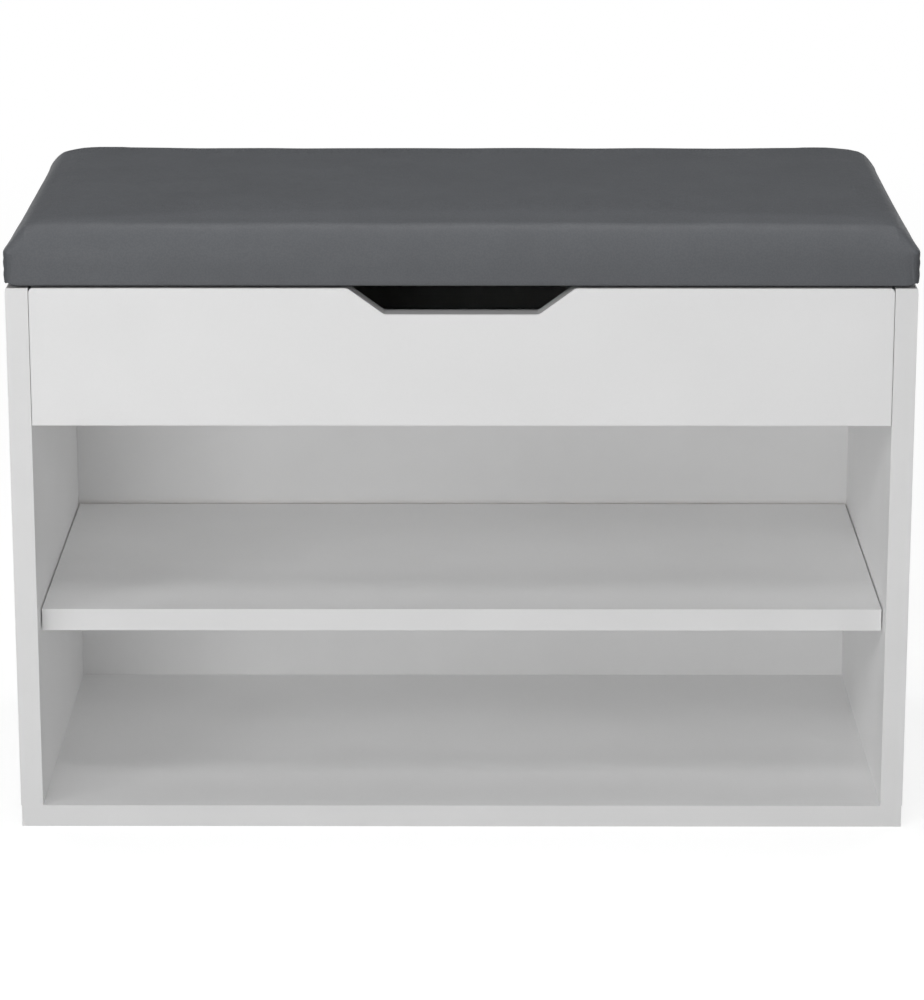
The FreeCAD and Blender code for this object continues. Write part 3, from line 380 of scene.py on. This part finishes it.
def dress_cad_nodes():
    """Gives every CAD node the finish of the slot it was packed with."""
    sawn = {
        (0, 1, 0): laminate("melamine_board_sawn_rear", (0, 1, 0)),
        (0, 0, -1): laminate("melamine_board_sawn_below", (0, 0, -1)),
    }
    for name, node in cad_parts.items():
        for slot in node.material_slots:
            if slot.material.name in MATERIALS:
                slot.material = MATERIALS[slot.material.name]
        if name in RAW_SIDES:
            node.material_slots[0].material = sawn[RAW_SIDES[name]]


def soften_edges(names, width):
    """Breaks the boards' sharp edges by a hair, so that they catch the light."""
    for name in names:
        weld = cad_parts[name].modifiers.new("weld", "WELD")
        weld.merge_threshold = 0.01 * MM
        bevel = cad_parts[name].modifiers.new("broken_edge", "BEVEL")
        bevel.width = width
        bevel.segments = 2
        bevel.limit_method = "ANGLE"
        bevel.angle_limit = math.radians(40)
        bevel.harden_normals = True


dress_cad_nodes()
soften_edges(RAW_SIDES, 0.3 * MM)

# ---------------------------------------------------------------- seat cushion

# The stuffed cover stands out past the plain CAD cover by OUTSET.
seat_low, seat_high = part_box("seat_cover")
SEAT_MIDDLE = (seat_low + seat_high) / 2
BOARD_TOP = board_high.z
OUTSET = 0.8 * MM
HALF_X = (seat_high.x - seat_low.x) / 2 + OUTSET
HALF_Y = (seat_high.y - seat_low.y) / 2 + OUTSET

# The padded edge, and the hem where the cover turns under the board: how far each reaches out and
# up, and the exponent of its superellipse.
SHOULDER_OUT = 15 * MM
SHOULDER_UP = 17 * MM
SHOULDER_ROUNDNESS = 2.0
HEM_UP = 2.4 * MM
HEM_ROUNDNESS = 5.0
HEM_STEPS = 4
CROWN = 4.0 * MM
SHOULDER_Z = seat_high.z - CROWN - SHOULDER_UP
HEM_Z = seat_low.z + HEM_UP
CORE_X = HALF_X - SHOULDER_OUT
CORE_Y = HALF_Y - SHOULDER_OUT

# How tension and stuffing pull the cover about. Beside the board it can only be drawn in a little.
CORNER_SQUARENESS = 2.2
SIDE_TUCK = 2.6 * MM
BOARD_TUCK = 0.9 * MM
FRONT_SHARE = 0.7  # of the sides' tuck and ears, on the front and back
EDGE_POWER = 12  # the tuck fades inwards with this power of the distance from the middle
CROWN_POWER = 3
CORNER_SINK = 9.0 * MM
CORNER_REACH = 46 * MM
EAR_PUSH = 1.6 * MM
EAR_REACH = 9 * MM
EAR_HEIGHT = 5 * MM
REAR_EAR_SHARE = 0.25
LIP_DROP = 2.2 * MM
LIP_WIDTH = 2.2 * MM
RIPPLE = 0.3 * MM
RIPPLE_LENGTH = 55 * MM

# The cover is folded over at each corner, on the long faces and on the short ones.
PLEAT_STEP = 0.6 * MM
PLEAT_GROOVE = 0.9 * MM
PLEAT_WIDTH = 0.45 * MM
PLEAT_LEAN = 0.08
LONG_FACE_PLEAT = 3.2 * MM
SHORT_FACE_PLEAT = 5.0 * MM


def band(count):
    """Places across a rounded edge, evenly spaced in angle, from the flat (0) to the diagonal (1)."""
    return [math.tan(math.radians(45) * step / count) for step in range(1, count + 1)]


def grid_lines(low, high, inner_count, low_band, high_band):
    """(core place, offset -1..1) pairs along one axis: a band, the flat, and a band."""
    flat = [low + (high - low) * step / inner_count for step in range(inner_count + 1)]
    before = [(low, -offset) for offset in reversed(band(low_band))]
    after = [(high, offset) for offset in band(high_band)]
    return before + [(place, 0.0) for place in flat] + after


def box_skin(counts):
    """Index triples and quads of the outside of a grid of counts lines along each axis."""
    last = [count - 1 for count in counts]
    index, quads = {}, []

    def vertex(key):
        return index.setdefault(key, len(index))

    for axis in range(3):
        first, second = [a for a in range(3) if a != axis]
        for side in (0, last[axis]):
            outward = (side > 0) == (axis != 1)
            for i in range(last[first]):
                for j in range(last[second]):
                    corners = []
                    for di, dj in ((0, 0), (1, 0), (1, 1), (0, 1)):
                        key = [0, 0, 0]
                        key[axis], key[first], key[second] = side, i + di, j + dj
                        corners.append(vertex(tuple(key)))
                    quads.append(corners if outward else corners[::-1])
    return list(index), quads


def superellipse(a, b, exponent):
    """(a, b), a unit direction with positive parts, pushed out to the curve of that exponent."""
    scale = (abs(a) ** exponent + abs(b) ** exponent) ** (-1.0 / exponent)
    return a * scale, b * scale


def seat_point(line_x, line_y, line_z):
    """A point of the upholstered form before it is stuffed: flat below, rounded all round."""
    core = Vector((line_x[0], line_y[0], line_z[0]))
    aim = Vector((line_x[1], line_y[1], line_z[1])).normalized()
    reach = math.hypot(aim.x, aim.y)
    rising = aim.z >= 0
    out, up = superellipse(reach, abs(aim.z), SHOULDER_ROUNDNESS if rising else HEM_ROUNDNESS)
    if reach > 0:
        squareness = 2.0 + CORNER_SQUARENESS * out ** 3
        across, along = superellipse(abs(aim.x) / reach, abs(aim.y) / reach, squareness)
        core.x += math.copysign(across * out * SHOULDER_OUT, aim.x)
        core.y += math.copysign(along * out * SHOULDER_OUT, aim.y)
    core.z += up * (SHOULDER_UP if rising else -HEM_UP)
    return core


def smooth(value, start, end):
    """0 at start and 1 at end, eased in between and flat beyond."""
    t = min(1.0, max(0.0, (value - start) / (end - start)))
    return t * t * (3 - 2 * t)


def bell(value, middle, width):
    """1 at the middle, falling away smoothly on both sides."""
    return math.exp(-((value - middle) / width) ** 2)


def stuffed(point):
    """The point after stuffing: crowned, drawn in between the corners, and sunk at the corners,
    where the gathered cover stands out a little. A lip hangs down at the front and the sides."""
    place = point - SEAT_MIDDLE
    side_x = math.copysign(1, place.x)
    side_y = math.copysign(1, place.y)
    u = min(1.0, abs(place.x) / HALF_X)
    v = min(1.0, abs(place.y) / HALF_Y)
    from_corner = math.hypot((1 - u) * HALF_X, (1 - v) * HALF_Y)
    above_board = smooth(point.z, BOARD_TOP - 2 * MM, SHOULDER_Z + 0.6 * SHOULDER_UP)
    tuck = BOARD_TUCK + (SIDE_TUCK - BOARD_TUCK) * above_board
    ear = EAR_PUSH * bell(from_corner, 0, EAR_REACH) * bell(point.z, SHOULDER_Z + 3 * MM, EAR_HEIGHT)
    ear *= 1.0 if side_y < 0 else REAR_EAR_SHARE
    moved = point.copy()
    moved.x -= side_x * (tuck * (1 - v ** 6) * u ** EDGE_POWER - ear)
    moved.y -= side_y * (FRONT_SHARE * tuck * (1 - u ** 10) * v ** EDGE_POWER - FRONT_SHARE * ear)
    risen = smooth(point.z, SHOULDER_Z, seat_high.z - CROWN)
    moved.z += CROWN * risen * (1 - u ** CROWN_POWER) * (1 - v ** CROWN_POWER)
    sink = CORNER_SINK * max(0.0, 1 - from_corner / CORNER_REACH) ** 2
    moved.z -= sink * smooth(point.z, BOARD_TOP, seat_high.z)
    to_edge = min((1 - u) * HALF_X, (1 - v) * HALF_Y)
    lip = LIP_DROP * bell(to_edge, 0, LIP_WIDTH) * (1 - smooth(point.z, seat_low.z, HEM_Z + 6 * MM))
    moved.z -= lip * (1 - smooth(place.y, 0.6 * HALF_Y, 0.85 * HALF_Y))
    ripple = noise.noise(Vector((point.x, point.y, 0.6 * point.z)) / RIPPLE_LENGTH)
    moved.z += RIPPLE * ripple * above_board
    moved.y += side_y * RIPPLE * ripple * above_board * v ** EDGE_POWER
    return moved


def pleat(distance, where, height):
    """How far the cover stands out beside a fold: raised on the corner's side, with a groove."""
    fold = 1 - smooth(height, SHOULDER_Z - 6 * MM, SHOULDER_Z + 3 * MM)
    step = PLEAT_STEP * (1 - smooth(distance, where - PLEAT_WIDTH, where + PLEAT_WIDTH))
    groove = PLEAT_GROOVE * bell(distance, where + PLEAT_WIDTH, PLEAT_WIDTH)
    return fold * (step - groove)


def add_pleats(mesh):
    """Folds the cover over at the four corners, leaning a little as a hand-made pleat does."""
    for vertex in mesh.vertices:
        place = vertex.co - SEAT_MIDDLE
        to_end = HALF_X - abs(place.x)
        to_face = HALF_Y - abs(place.y)
        if min(to_end, to_face) > 2 * SHOULDER_OUT or vertex.co.z < seat_low.z + 0.2 * MM:
            continue
        lean = PLEAT_LEAN * (vertex.co.z - HEM_Z)
        normal = vertex.normal
        if abs(normal.y) > 0.35 and to_end < SHOULDER_OUT:
            out = pleat(to_end - lean, LONG_FACE_PLEAT, vertex.co.z)
            vertex.co.y += math.copysign(out, place.y)
        elif abs(normal.x) > 0.35 and to_face < SHOULDER_OUT:
            out = pleat(to_face - lean, SHORT_FACE_PLEAT, vertex.co.z)
            vertex.co.x += math.copysign(out, place.x)


def seat_mesh(name, spacing, edge_steps, wall_steps):
    """The cushion as one closed skin of quads, finest round the padded edges and corners."""
    left, right = SEAT_MIDDLE.x - CORE_X, SEAT_MIDDLE.x + CORE_X
    front, rear = SEAT_MIDDLE.y - CORE_Y, SEAT_MIDDLE.y + CORE_Y
    columns, rows = round(2 * HALF_X / spacing), round(2 * HALF_Y / spacing)
    x_lines = grid_lines(left, right, columns, edge_steps, edge_steps)
    y_lines = grid_lines(front, rear, rows, edge_steps, edge_steps)
    z_lines = grid_lines(HEM_Z, SHOULDER_Z, wall_steps, HEM_STEPS, wall_steps)
    keys, quads = box_skin([len(x_lines), len(y_lines), len(z_lines)])
    points = [stuffed(seat_point(x_lines[i], y_lines[j], z_lines[k])) for i, j, k in keys]
    mesh = bpy.data.meshes.new(name)
    mesh.from_pydata(points, [], quads)
    mesh.update()
    return mesh


def link(name, mesh):
    """Puts the mesh in the scene as an object."""
    made = bpy.data.objects.new(name, mesh)
    bpy.context.scene.collection.objects.link(made)
    return made


# The simulated stuffing: the most that a point may move, the frames, and how it is carried over.
PUFF_LIMIT = 1.8 * MM
PUFF_FRAMES = 18
PUFF_NEIGHBOURS = 28
PUFF_REACH = 13 * MM


def simulated_puff():
    """Blows up a coarse copy of the cushion as cloth: each point's place, and how far it went."""
    form = seat_mesh("cushion_trial", spacing=9 * MM, edge_steps=4, wall_steps=5)
    trial = link("cushion_trial", form)
    start = [vertex.co.copy() for vertex in trial.data.vertices]
    held = trial.vertex_groups.new(name="held")
    for vertex in trial.data.vertices:
        weight = 1.0 - smooth(vertex.co.z, BOARD_TOP - 4 * MM, BOARD_TOP + 2 * MM)
        held.add([vertex.index], weight, "REPLACE")
    cloth = trial.modifiers.new("stuffing", "CLOTH")
    cloth.settings.quality = 8
    cloth.settings.mass = 0.35
    cloth.settings.tension_stiffness = 12
    cloth.settings.compression_stiffness = 12
    cloth.settings.shear_stiffness = 4
    cloth.settings.bending_stiffness = 0.6
    cloth.settings.air_damping = 4
    cloth.settings.vertex_group_mass = "held"
    cloth.settings.shrink_min = -0.012
    cloth.settings.use_pressure = True
    cloth.settings.uniform_pressure_force = 3.0
    cloth.settings.effector_weights.gravity = 0
    cloth.collision_settings.use_self_collision = False
    scene = bpy.context.scene
    for step in range(1, PUFF_FRAMES + 1):
        scene.frame_set(step)
    blown = trial.evaluated_get(bpy.context.evaluated_depsgraph_get())
    moves = [after.co - before for after, before in zip(blown.data.vertices, start)]
    scene.frame_set(1)
    bpy.data.objects.remove(trial)
    bpy.data.meshes.remove(form)
    return start, moves


def add_puff(mesh):
    """Carries the stuffing over to the fine skin: at most PUFF_LIMIT, and none beside the board."""
    start, moves = simulated_puff()
    tree = kdtree.KDTree(len(start))
    for index, place in enumerate(start):
        tree.insert(place, index)
    tree.balance()
    for vertex in mesh.vertices:
        total, weight = Vector(), 0.0
        for _, index, distance in tree.find_n(vertex.co, PUFF_NEIGHBOURS):
            near = bell(distance, 0, PUFF_REACH)
            total += moves[index] * near
            weight += near
        move = total / weight
        if move.length > PUFF_LIMIT:
            move *= PUFF_LIMIT / move.length
        vertex.co += move * smooth(vertex.co.z, BOARD_TOP + 2 * MM, SHOULDER_Z + 0.8 * SHOULDER_UP)


def build_cushion():
    mesh = seat_mesh("seat_cushion", spacing=6 * MM, edge_steps=22, wall_steps=12)
    add_puff(mesh)
    add_pleats(mesh)
    mesh.shade_smooth()
    cushion = link("seat_cushion", mesh)
    mesh.materials.append(MATERIALS["seat_leatherette"])
    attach(cushion, "lid")
    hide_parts("seat_cover", "seat_foam")


# ---------------------------------------------------------------- backing cloth

backing_low, backing_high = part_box("lid_backing")
BACKING_MIDDLE = (backing_low + backing_high) / 2
BACKING_X = (backing_high.x - backing_low.x) / 2
BACKING_Y = (backing_high.y - backing_low.y) / 2
BACKING_THICKNESS = 0.45 * MM
BACKING_SAG = 1.1 * MM
LOOSENESS = 0.3  # share of the sag that comes and goes over the cloth
LOOSE_LENGTH = 70 * MM
TURNED_HEM = 9 * MM
HEM_STEP = 0.12 * MM
HEM_EDGE = 0.6 * MM
PUCKER = 0.3 * MM
STAPLE_PITCH = 62 * MM
CLAMPING = ["left_stay_bracket", "right_stay_bracket", "left_lid_hinge_leaf", "right_lid_hinge_leaf"]
CLAMPS = [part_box(name) for name in CLAMPING]
CLAMP_REACH = 14 * MM


def clamped(place):
    """0 where a fitting holds the cloth against the board, rising to 1 away from all of them."""
    free = 1.0
    spot = BACKING_MIDDLE + place
    for low, high in CLAMPS:
        away_x = max(low.x - spot.x, spot.x - high.x, 0.0)
        away_y = max(low.y - spot.y, spot.y - high.y, 0.0)
        free *= smooth(math.hypot(away_x, away_y), 0.0, CLAMP_REACH)
    return free


def backing_drop(place):
    """How far the cloth hangs below its hem, at a place measured from its middle."""
    u = min(1.0, abs(place.x) / BACKING_X)
    v = min(1.0, abs(place.y) / BACKING_Y)
    from_edge = min((1 - u) * BACKING_X, (1 - v) * BACKING_Y)
    inside = smooth(from_edge, TURNED_HEM, 6 * TURNED_HEM)
    along = place.x if (1 - v) * BACKING_Y < (1 - u) * BACKING_X else place.y
    pucker = PUCKER * (1 - math.cos(math.tau * along / STAPLE_PITCH)) / 2
    pucker *= smooth(from_edge, 0.4 * TURNED_HEM, 1.4 * TURNED_HEM) * (1 - inside)
    loose = LOOSENESS * noise.noise(place / LOOSE_LENGTH) * inside
    hem_step = HEM_STEP * smooth(from_edge, TURNED_HEM - HEM_EDGE, TURNED_HEM + HEM_EDGE)
    return (BACKING_SAG * inside * (1 + loose) + pucker) * clamped(place) - hem_step


def backing_mesh(name, columns, rows):
    """The cloth as a thin closed sheet, cut square and turned under all round."""
    mesh = bpy.data.meshes.new(name)
    xs = grid_lines(-BACKING_X, BACKING_X, columns, low_band=0, high_band=0)
    ys = grid_lines(-BACKING_Y, BACKING_Y, rows, low_band=0, high_band=0)
    keys, quads = box_skin([len(xs), len(ys), 2])
    points = []
    for i, j, k in keys:
        place = Vector((xs[i][0], ys[j][0], 0))
        place.z = (k - 0.5) * BACKING_THICKNESS - backing_drop(place)
        points.append(BACKING_MIDDLE + place)
    mesh.from_pydata(points, [], quads)
    mesh.update()
    mesh.shade_smooth()
    return mesh


def build_backing():
    cloth = link("backing_cloth", backing_mesh("backing_cloth", columns=145, rows=70))
    cloth.data.materials.append(MATERIALS["underside_cloth"])
    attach(cloth, "lid")
    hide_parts("lid_backing")


build_cushion()
build_backing()

# ---------------------------------------------------------------- floor, light and camera

CARD_GREY = (0.5, 0.5, 0.5, 1.0)
CARD_LIFT = 0.7


def floor_material(near, far):
    """Pale matt card round the bench that lightens to plain white with distance.

    The lift is only seen by the camera, so the floor still bounces light as card does.
    """
    material = bpy.data.materials.new("studio_floor")
    material.use_nodes = True
    tree = material.node_tree
    tree.nodes.clear()
    seen = shader_node(tree, "LightPath").outputs["Is Camera Ray"]
    place = shader_node(tree, "TexCoord").outputs["Object"]
    distance = shader_node(tree, "VectorMath", {0: place}, operation="LENGTH").outputs["Value"]
    reach = {"Value": distance, "From Min": near, "From Max": far}
    fade = shader_node(tree, "MapRange", reach, interpolation_type="SMOOTHSTEP")
    card = shader_node(tree, "BsdfDiffuse", {"Color": CARD_GREY}).outputs[0]
    lift = shader_node(tree, "Emission", {"Strength": CARD_LIFT}).outputs[0]
    lifted = shader_node(tree, "AddShader", {0: card, 1: lift}).outputs[0]
    white = shader_node(tree, "Emission", {"Strength": 1.0}).outputs[0]
    shown = shader_node(tree, "MixShader", {0: fade.outputs[0], 1: lifted, 2: white}).outputs[0]
    surface = shader_node(tree, "MixShader", {0: seen, 1: card, 2: shown}).outputs[0]
    shader_node(tree, "OutputMaterial", {"Surface": surface})
    return material


def build_floor(half=12.0):
    mesh = bpy.data.meshes.new("floor")
    corners = [(-half, -half, 0), (half, -half, 0), (half, half, 0), (-half, half, 0)]
    mesh.from_pydata(corners, [], [(0, 1, 2, 3)])
    mesh.materials.append(floor_material(near=0.5, far=2.4))
    floor = link("floor", mesh)


def softbox(name, place, target, size, watts):
    """A rectangular area light that faces target and isn't seen itself."""
    light = bpy.data.lights.new(name, "AREA")
    light.shape = "RECTANGLE"
    light.size, light.size_y = size
    light.energy = watts
    lamp = bpy.data.objects.new(name, light)
    lamp.location = place
    lamp.rotation_euler = (Vector(target) - Vector(place)).to_track_quat("-Z", "Y").to_euler()
    lamp.visible_camera = False
    bpy.context.scene.collection.objects.link(lamp)


def build_world(level):
    """Even pale surroundings, white to the camera and dimmer as a light."""
    world = bpy.data.worlds.new("studio")
    world.use_nodes = True
    bpy.context.scene.world = world
    nodes, links = world.node_tree.nodes, world.node_tree.links
    background = nodes["Background"]
    background.inputs["Color"].default_value = (1, 1, 1, 1)
    path = nodes.new("ShaderNodeLightPath")
    strength = nodes.new("ShaderNodeMapRange")
    strength.inputs["To Min"].default_value = level
    strength.inputs["To Max"].default_value = 1.0
    links.new(path.outputs["Is Camera Ray"], strength.inputs["Value"])
    links.new(strength.outputs[0], background.inputs["Strength"])


def build_camera():
    """A long lens in front of the bench, above seat height and looking slightly down."""
    data = bpy.data.cameras.new("camera")
    data.lens = 140.4
    data.sensor_width = 36
    data.clip_end = 60
    camera = bpy.data.objects.new("camera", data)
    camera.location = (0.006, -2.6534, 0.9252)
    camera.rotation_euler = (math.radians(90 - 15.50), 0, math.radians(0.13))
    bpy.context.scene.collection.objects.link(camera)
    bpy.context.scene.camera = camera


build_floor()
build_world(0.06)
softbox("key", (-0.87, -2.85, 0.47), (0, 0, 0.2), (1.2, 0.6), 18.5)
softbox("front_low", (-0.1, -3.0, 0.42), (0, 0, 0.2), (1.6, 0.5), 3)
softbox("front_high", (0, -2.35, 1.5), (0, 0, 0.2), (1.6, 0.5), 7)
softbox("front_steep", (0, -1.2, 2.25), (0, 0, 0.2), (1.8, 0.5), 7.5)
softbox("cut_out_fill", (-0.4, -3.0, 1.0), (0, 0, 0.35), (0.6, 0.2), 0.5)
softbox("left", (-2.2, -2.2, 1.6), (0, 0, 0.2), (1.2, 0.8), 19)
softbox("right", (2.6, -2.0, 0.7), (0, 0, 0.2), (1.6, 1.0), 11.5)
softbox("overhead", (0, 0.2, 2.3), (0, 0, 0.4), (1.6, 1.0), 17)
softbox("rear_left", (-2.2, 2.4, 1.1), (0, 0, 0.2), (1.2, 1.0), 15)
softbox("rear_right", (2.2, 2.4, 1.1), (0, 0, 0.2), (1.2, 1.0), 15)
build_camera()
bpy.context.scene.view_settings.view_transform = "Standard"
bpy.context.scene.cycles.diffuse_bounces = 12  # light reaches deep into the white bays
